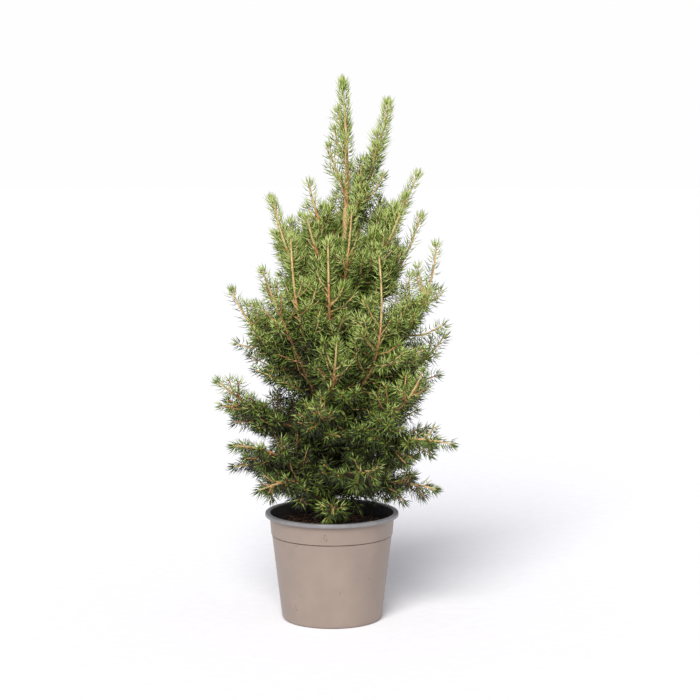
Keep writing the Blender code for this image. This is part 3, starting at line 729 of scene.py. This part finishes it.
innerPath = trunkStretch(innerTrunk["low"], innerTrunk["high"], innerTrunk["steps"])
for shoot in sideShoots("trunk", innerPath, 0.0, 1.0, innerTrunk["pitch"], "trunk", "low"):
    tier = next(name for name, top in tierTops if shoot[0].z < top)
    inner.append((tier, 0, tiers[tier]["inside"], shoot))
outerStems = kdtree.KDTree(len(stems) * (growth["faceSteps"] + 1))  # points along the limbs
faces = []  # each point's limb, outer face and direction
for _, number, path in stems:
    if number in (rimTuft, secondLeader):  # these two stay covered all round
        continue
    fine = stretchOf(path, 0.3, 0.9, growth["faceSteps"])
    for point, (way, _) in zip(fine, framesOf(fine)):
        outerStems.insert(point, len(faces))
        faces.append((number, outerFace(point, way), way))
outerStems.balance()
shoots = [row for row in shoots if row[0] == "leader" or clearOf(row[1], row[3])]
for index, (tier, number, tone, shoot) in enumerate(shoots):
    if pathLength(shoot) > growth["twigLeastShoot"]:
        twigs += rowsOf(number, tone, f"shoot {index}", shoot, *growth["twigs"], "twig", tier)
print(len(shoots) + len(inner), "shoots and", len(twigs), "twigs have grown")

for part, entries in limbTubes.items():
    arrayPiece(f"{part}WoodOfLimbs", *tubes(*zip(*entries), 8, 0.2), bark[part], "bark",
               *(boughs if part == "limb" else []))


def taperedRadii(rings, radius, taper):
    return [radius * (1 - taper * step / (rings - 1)) for step in range(rings)]


# low down the inner shoots and twigs take darker barks, as painted shade
for kind, group, size, *finishes in (
    ("inner", inner, "shoot", "inner", "old"),
    ("shoot", shoots, "shoot", "old", "young"),
    ("twig", twigs, "twig", "twig", "young"),
):
    for where, finish in zip(("Lower", "Upper"), finishes):
        paths = [path for tier, _, _, path in group if (tier in lowerTiers) == (where == "Lower")]
        radii = [taperedRadii(len(paths[0]), growth[f"{size}Radius"], growth[f"{size}Taper"])] * len(paths)
        arrayPiece(f"{kind}Bark{where}", *tubes(paths, radii, 4), bark[finish], "bark",
                   *[node for node in masses if node.endswith(lowerTiers) == (where == "Lower")])
print("the bark is on")


# needles: one slim needle repeated along every stem, dealt out in plain greens that paint light and shade on the crown

needle = {
    "perMetre": 950, "length": 0.0153, "width": 0.0015, "bow": 0.11, "widest": 0.36,
    "spreadFoot": math.radians(82), "spreadTip": math.radians(52),
    "overLimb": 0.015, "partWidth": 0.0030, "parted": 0.88,
    "most": 32000,  # needles in a piece
}
# plain greens for painted shade and light: from the shaded inside of the crown to its palest, lit tips, and the dead
# ones
shades = {
    "shade": "#2B2E17", "deep": "#495425", "mid": "#61782B",
    "sun": "#7D9636", "light": "#9DAF55", "pale": "#BBC778", "dry": "#7E5230",
}


def needleMaterial(name, colour):  # waxy needles: a plain green with a soft gloss
    made, tree, shader = startMaterial(name, {"Base Color": hexColour(colour), "Roughness": 0.4, "IOR": 1.45})
    place = addNode(tree, "ShaderNodeTexCoord").outputs["Object"]
    wax = addNode(tree, "ShaderNodeTexNoise", values={"Scale": 350.0, "Detail": 2.0},
                  links={"Vector": place})  # 3 mm patches of wax
    rough = addNode(tree, "ShaderNodeValToRGB", links={"Fac": wax.outputs["Fac"]}, stops=[(0.35, 0.32), (0.65, 0.5)])
    tree.links.new(rough.outputs["Color"], shader.inputs["Roughness"])
    bump = addNode(tree, "ShaderNodeBump", values={"Strength": 0.25, "Distance": 0.0002},
                   links={"Height": wax.outputs["Fac"]})
    tree.links.new(bump.outputs["Normal"], shader.inputs["Normal"])
    return made


def needleForm():  # a three-sided needle pointed at both ends, along Z from 0 to 1
    shape = bmesh.new()
    bmesh.ops.create_cone(shape, cap_ends=True, segments=3, radius1=0.5, radius2=0, depth=1)
    foot = [face for face in shape.faces if abs(face.normal.z) > 0.9]
    bmesh.ops.poke(shape, faces=foot)
    points, faces = arraysOf(shape)
    onAxis = np.hypot(points[:, 0], points[:, 1]) < 0.01
    points[:, 2] = np.where(onAxis, np.where(points[:, 2] > 0, 1.0, 0.0), needle["widest"])
    return points, faces


def unit(rows):
    return rows / np.maximum(np.linalg.norm(rows, axis=1)[:, None], 1e-6)


def diceOf(seed):
    return np.random.default_rng(random.Random(seed).randrange(2 ** 32))


# each needle is a row of its root, its heading, its stem's direction and its length
def needlesAlong(seed, tier, path, start, end, radius, density=1.0, grown=1.0, parting=0.0):
    count = max(3, int(pathLength(path) * (end - start) * needle["perMetre"] * density * tiers[tier]["dense"]))
    dice = diceOf(seed)
    share = (np.arange(count) + dice.uniform(0, 1, count)) / count
    place = (start + (end - start) * share) * (len(path) - 1)
    index = np.minimum(place.astype(int), len(path) - 2)
    part = (place - index)[:, None, None]
    places = placesOf(path)
    root, way, side = np.moveaxis(places[index] * (1 - part) + places[index + 1] * part, 1, 0)
    way, side = unit(way), unit(side)
    turn = np.arange(count) * growth["turn"] + dice.normal(0, 0.3, count)
    across = side * np.cos(turn)[:, None] + np.cross(way, side) * np.sin(turn)[:, None]
    close = (start + (end - start) * share) ** 6
    lean = needle["spreadFoot"] + (needle["spreadTip"] - needle["spreadFoot"]) * close
    lean = lean * dice.uniform(0.82, 1.16, count) * tiers[tier]["stand"]
    heading = way * np.cos(lean)[:, None] + across * np.sin(lean)[:, None]
    heading[:, 2] += tiers[tier]["rise"]
    size = needle["length"] * grown * dice.uniform(0.8, 1.15, count) * (1 - 0.2 * close)
    rise = np.abs(way[:, 2:])
    away = unit(np.hstack([root[:, :2], np.zeros((count, 1))])) * rise + np.array([[0, 0, 1]]) * (1 - rise)
    away = unit(away - way * (away * way).sum(1)[:, None])
    front = np.clip(-unit(root[:, :2])[:, 1], 0, 1)
    if tier == "leader":  # the leader's stem shows on its front
        away[:], front = (0, -1, 0), 1
    kept = (across * away).sum(1) < tiers[tier]["openFace"]
    kept |= dice.uniform(0, 1, count) > parting * (0.6 + 0.4 * front)
    return np.hstack([root + across * radius * 0.6, unit(heading), way, size[:, None]])[kept]


def tuftAt(seed, tier, path, count, grown=0.85, forward=1.0):  # needles round a bud, pointing on from the tip
    density = count / needle["perMetre"] / (0.1 * pathLength(path))
    rows = needlesAlong(seed, tier, path, 0.9, 1.0, 0.0005, density, grown)[:count]
    way = (path[-1] - path[-2]).normalized()
    rows[:, 0:3] = np.array(path[-1]) - np.outer(np.linspace(0.004, 0.0, len(rows)), way)
    rows[:, 3:6] = unit(rows[:, 3:6] + np.outer(np.linspace(0.0, forward, len(rows)), way))
    return rows


def parted(rows):  # most needles that would lie over a limb's outer face are left out, so its stem shows
    dice = diceOf(f"parted {len(rows)}")
    kept = np.ones(len(rows), bool)
    middles = rows[:, 0:3] + rows[:, 3:6] * rows[:, 9:10] * 0.6
    for row, (middle, chance) in enumerate(zip(middles, dice.uniform(0, 1, len(rows)))):
        spot, index, gap = outerStems.find(middle)
        if gap > needle["overLimb"] or chance > needle["parted"]:
            continue
        away = Vector(middle) - spot
        _, face, way = faces[index]
        outward = away.dot(face)
        aside = math.sqrt(max(0.0, gap ** 2 - outward ** 2 - away.dot(way) ** 2))
        kept[row] = outward < 0.001 or aside > needle["partWidth"]
    return rows[kept]


def needlesFrom(rows):  # their points and triangles
    form, faces = needleForm()
    root, heading, way, size = rows[:, 0:3], rows[:, 3:6], rows[:, 6:9], rows[:, 9]
    inward = unit(way - heading * (way * heading).sum(1)[:, None])
    aside = np.cross(inward, heading)
    bow = needle["bow"] * np.where(form[:, 2] > 0.9, 1.0, np.where(form[:, 2] < 0.1, 0.0, -1.0))
    points = root[:, None] + heading[:, None] * (size[:, None] * form[:, 2])[:, :, None]
    points = points + aside[:, None] * (form[:, 0] * needle["width"])[None, :, None]
    points = points + inward[:, None] * (form[:, 1] * needle["width"] * 0.8 + size[:, None] * bow)[:, :, None]
    return joined(points, faces)


sprays = {}  # (tier, shade) to lists of needle rows
greens = list(shades)[:6]
# painted light and shade on the greens: painted shade at the foot and near the trunk, painted light high up, far out,
# and at front and back, where no neighbour's shade fell
paintedLight = {
    "foot": -0.9, "high": 5.1, "curve": 1.3, "out": 1.9, "outHigh": 0.9, "open": 1.4, "openDepth": 0.05,
    "lowest": 0.16, "climb": 0.48, "reach": 0.165, "narrows": 0.125, "bySpray": 0.35, "upwardLight": 0.9,
}


# painted light: a spray's green level rises high up, far out and at front and back low down
def paintedLightLevel(middle, step):
    high = min(1.0, max(0.0, (middle.z - paintedLight["lowest"]) / paintedLight["climb"]))
    reach = paintedLight["reach"] - paintedLight["narrows"] * high
    out = min(1.0, Vector((middle.x - trunkPoint(max(middle.z, 0.13)).x, middle.y)).length / reach)
    paintedOpenLight = min(1.0, abs(middle.y) / paintedLight["openDepth"]) * (1 - high)
    return (paintedLight["foot"] + paintedLight["high"] * high ** paintedLight["curve"]
            + (paintedLight["out"] + paintedLight["outHigh"] * high) * out ** 2
            + paintedLight["open"] * paintedOpenLight + step * (1 - 0.6 * high))


def addSpray(seed, tier, level, rows):  # a number deals greens round it, with painted light: lighter where a needle points up
    if level == "dry":
        sprays.setdefault((tier, "dry"), []).append(rows)
        return
    dice = diceOf(seed + " shade")
    mixed = dice.normal(0, tiers[tier]["mixed"], len(rows))
    tones = level + dice.normal(0, paintedLight["bySpray"]) + paintedLight["upwardLight"] * (rows[:, 5] - 0.2) + mixed
    tones = np.clip(tones, 0, len(greens) - 0.1).astype(int)
    for tone in np.unique(tones):
        sprays.setdefault((tier, greens[tone]), []).append(rows[tones == tone])


cover = {  # needles on each kind of stem, against the usual number
    "stem": 1.45, "rimTuft": 2.4, "secondLeader": 3.6, "leaderFoot": 0.9, "leaderTop": 2.8,
    "tip": 1.2, "inner": 1.7, "dead": 0.5, "twig": 1.1,
}
tufts = {"stem": 18, "secondLeader": 30, "shoot": 12, "inner": 10}  # needles round each kind of bud
dying = {"left": -0.016, "front": -0.03, "share": 0.05}  # the rim tuft's dead side, and the share of low inner shoots


def dyingTip(path):  # the tuft over the rim is dying off on one side
    return path[-1].x < dying["left"] and path[-1].y < dying["front"]


for tier, number, path in stems:
    marks = (tiers[tier]["needled"], 0.7, 0.9, 1.0)
    for piece, (low, high) in enumerate(zip(marks, marks[1:])):
        seed = f"stem {number} {piece}"
        level = paintedLightLevel(along(path, high), 0.3 * piece)
        parting, density = tiers[tier]["parting"][piece], cover["stem"]
        if number == secondLeader:
            # painted shade: the second leader's greens are dealt darker
            level, parting, density = level - 1.3, 0.0, cover["secondLeader"]
        if number == rimTuft:
            parting, density = 0.0, cover["rimTuft"]
        addSpray(seed, tier, level, needlesAlong(seed, tier, path, low, high, 0.0014, density, 1.0, parting))
    count = tufts["secondLeader" if number == secondLeader else "stem"]
    seed = f"stem {number} tuft"
    addSpray(seed, tier, level - 0.3, tuftAt(seed, tier, path, count, 0.85, 1.8))
for piece in range(6):
    low, high = 0.1 + 0.14 * piece, 0.1 + 0.14 * (piece + 1)
    seed = f"leader {piece}"
    density, parting = (cover["leaderFoot"], 0.95) if piece < 3 else (cover["leaderTop"], 0.0)
    addSpray(seed, "leader", paintedLightLevel(along(leaderPath, high), 0.2),
             needlesAlong(seed, "leader", leaderPath, low, high, 0.0020, density, 0.9, parting))
# painted light: the leader's top tufts take the palest greens
for seed, back, count, forward in (("leader tuft", 0.94, 26, 2.4), ("leader collar", 0.90, 24, 0.9)):
    addSpray(seed, "leader", 4.6, tuftAt(seed, "leader", stretchOf(leaderPath, 0.8, back, 6), count, 0.95, forward))
for index, (tier, number, tone, path) in enumerate(shoots):
    seed = f"shoot {index}"
    if number == secondLeader:
        # painted shade: the second leader's shoots are dealt darker
        tone -= 1.5
    body, tip = paintedLightLevel(along(path, 0.5), tone), paintedLightLevel(path[-1], tone + 0.35)
    if number == rimTuft:
        body, tip = ("dry", "dry") if dyingTip(path) else (2.9, 3.9)
    radius = growth["shootRadius"]
    parting = tiers[tier]["sideParting"] if tone > 0.1 else 0.35
    if number in (rimTuft, secondLeader):
        parting = 0.0
    addSpray(seed, tier, body, needlesAlong(seed, tier, path, 0.1, 0.74, radius, parting=parting))
    addSpray(seed, tier, tip, needlesAlong(seed + " tip", tier, path, 0.74, 1.0, radius * 0.6, cover["tip"], 0.92))
    addSpray(seed, tier, tip, tuftAt(seed + " tuft", tier, path, tufts["shoot"]))
for index, (tier, number, tone, path) in enumerate(inner):
    seed = f"inner {index}"
    dead = tier == "low" and random.Random(seed).random() < dying["share"]
    level, density = ("dry", cover["dead"]) if dead else (paintedLightLevel(along(path, 0.5), tone - 0.2), cover["inner"])
    addSpray(seed, tier, level, needlesAlong(seed, tier, path, 0.15, 0.75, growth["shootRadius"], density))
    if not dead:
        # painted light: an inner shoot's tip is dealt paler than its body
        level = paintedLightLevel(path[-1], tone + tiers[tier]["innerTip"])
        addSpray(seed, tier, level, needlesAlong(seed + " tip", tier, path, 0.7, 1.0, 0.0006, density))
        addSpray(seed, tier, level, tuftAt(seed + " tuft", tier, path, tufts["inner"]))
for index, (tier, number, tone, path) in enumerate(twigs):
    seed = f"twig {index}"
    level = paintedLightLevel(path[-1], tone + 0.3)
    if number == rimTuft:
        level = "dry" if dyingTip(path) else 3.6
    addSpray(seed, tier, level, needlesAlong(seed, tier, path, 0.1, 1.0, growth["twigRadius"], cover["twig"], 0.9, 0.1))

wax = {shade: needleMaterial(f"spruceNeedle{shade.capitalize()}", colour) for shade, colour in shades.items()}
chance = random.Random("fallen")
fallen = []
for _ in range(soil["fallen"]):
    x, y = spotOnSoil(chance, soil["fallenMargin"])
    turn = chance.uniform(0, 2 * math.pi)
    fallen.append((x, y, soilHeight(x, y) + soil["fallenLift"], math.cos(turn), math.sin(turn),
                   chance.uniform(-0.1, 0.2), chance.uniform(-1, 1), chance.uniform(-1, 1), 0.3,
                   chance.uniform(*soil["fallenSize"])))
fallen = np.array(fallen)
fallen[:, 3:6] = unit(fallen[:, 3:6])
arrayPiece("fallenNeedles", *needlesFrom(fallen), wax["dry"], "soil")
total = 0
for (tier, shade), rows in sorted(sprays.items()):
    rows = parted(np.concatenate(rows))
    total += len(rows)
    parts = math.ceil(len(rows) / needle["most"])
    for part, some in enumerate(np.array_split(rows, parts)):
        name = f"needles{tier.capitalize()}{shade.capitalize()}" + (f"{part + 1}" if parts > 1 else "")
        arrayPiece(name, *needlesFrom(some), wax[shade], "foliage", *[n for n in masses if n.endswith(tier)])
print(total, "needles are on")
